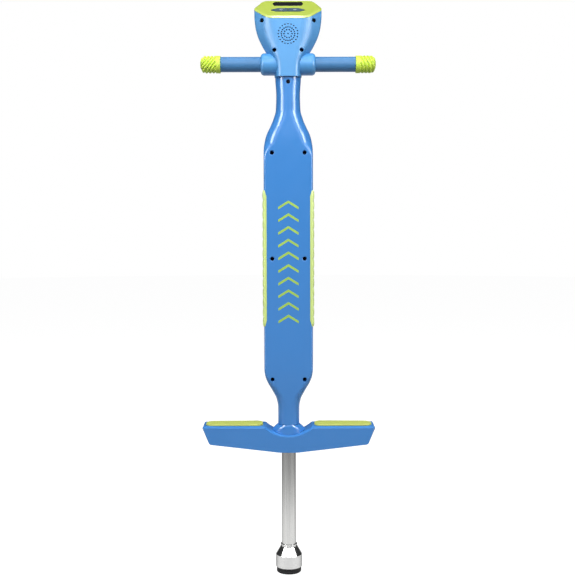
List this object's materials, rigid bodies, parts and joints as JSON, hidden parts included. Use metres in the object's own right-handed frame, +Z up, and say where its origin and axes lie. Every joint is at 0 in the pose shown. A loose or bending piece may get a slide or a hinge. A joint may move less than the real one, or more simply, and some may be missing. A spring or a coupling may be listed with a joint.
{
  "type": "pogo stick",
  "caption": "Child's pogo stick: shouldered column, T handlebar with grips, sloped jump-counter head, winged footrest and a sprung steel leg on a rubber foot.",
  "frame": {"origin": "centre of the rubber foot's flat bottom, under the middle of the overall box", "axes": "+Z up along the leg; handlebar and footrest run along X; the rider stands at -Y and looks along +Y"},
  "size_m": [0.2876, 0.052, 0.9555],
  "materials": {
    "gloss_blue": "gloss",
    "satin_blue": "satin",
    "lime": "satin",
    "lime_rubber": "matte",
    "leg_steel": "satin, drawn tube",
    "foot_steel": "polished",
    "frame_steel": "zinc plated",
    "black_rubber": "matte",
    "spring_steel": "oiled",
    "nylon": "satin",
    "screw_steel": "black oxide",
    "smoked_window": "gloss",
    "slate_key": "satin",
    "circuit_board": "solder mask",
    "dark_plastic": "matte",
    "cell_case": "satin sleeve"
  },
  "bodies": {
    "frame": {"battery_cell_1": "cell_case", "battery_cell_2": "cell_case", "battery_cell_3": "cell_case", "battery_door": "gloss_blue", "battery_door_screw": "screw_steel", "battery_tray": "dark_plastic", "body_front_shell": "gloss_blue", "body_rear_shell": "gloss_blue", "bump_stop": "black_rubber", "circuit_board": "circuit_board", "column_collar": "gloss_blue", "display_module": "dark_plastic", "display_window": "smoked_window", "foot_pad_left": "lime_rubber", "foot_pad_right": "lime_rubber", "footrest_bar_front": "frame_steel", "footrest_bar_rear": "frame_steel", "footrest_base": "gloss_blue", "footrest_screw_1": "screw_steel", "footrest_screw_2": "screw_steel", "footrest_screw_3": "screw_steel", "footrest_screw_4": "screw_steel", "footrest_shell": "gloss_blue", "frame_tube": "frame_steel", "grip_end_left": "lime_rubber", "grip_end_right": "lime_rubber", "grip_sleeve_left": "satin_blue", "grip_sleeve_right": "satin_blue", "guide_bush": "nylon", "handlebar_bolt": "screw_steel", "handlebar_nut": "screw_steel", "handlebar_tube": "frame_steel", "head_front_shell": "gloss_blue", "head_rear_shell": "gloss_blue", "head_screw_1": "screw_steel", "head_screw_2": "screw_steel", "head_screw_3": "screw_steel", "head_screw_4": "screw_steel", "lower_screw_left": "screw_steel", "lower_screw_right": "screw_steel", "middle_screw_left": "screw_steel", "middle_screw_right": "screw_steel", "neck_screw": "screw_steel", "shoulder_screw_left": "screw_steel", "shoulder_screw_right": "screw_steel", "side_pad_left": "lime", "side_pad_right": "lime", "speaker": "dark_plastic", "spring_pin": "screw_steel", "spring_seat": "nylon", "top_bezel": "lime"},
    "leg": {"leg_tube": "leg_steel", "plunger_bush": "nylon", "foot_collar": "foot_steel", "rubber_foot": "black_rubber", "spring": "spring_steel"},
    "left_key": {"key_left": "slate_key"},
    "right_key": {"key_right": "slate_key"}
  },
  "joints": [
    {"name": "leg_slide", "type": "slide", "parent": "frame", "child": "leg", "axis": [0, 0, 1], "range_m": [0, 0.09], "stiffness_N_per_m": 5500, "springref_m": -0.005, "deforming": ["spring"]},
    {"name": "left_key_press", "type": "slide", "parent": "frame", "child": "left_key", "axis": [0, 0.592, -0.8059], "range_m": [0, 0.001], "stiffness_N_per_m": 600, "springref_m": -0.0002},
    {"name": "right_key_press", "type": "slide", "parent": "frame", "child": "right_key", "axis": [0, 0.592, -0.8059], "range_m": [0, 0.001], "stiffness_N_per_m": 600, "springref_m": -0.0002}
  ]
}
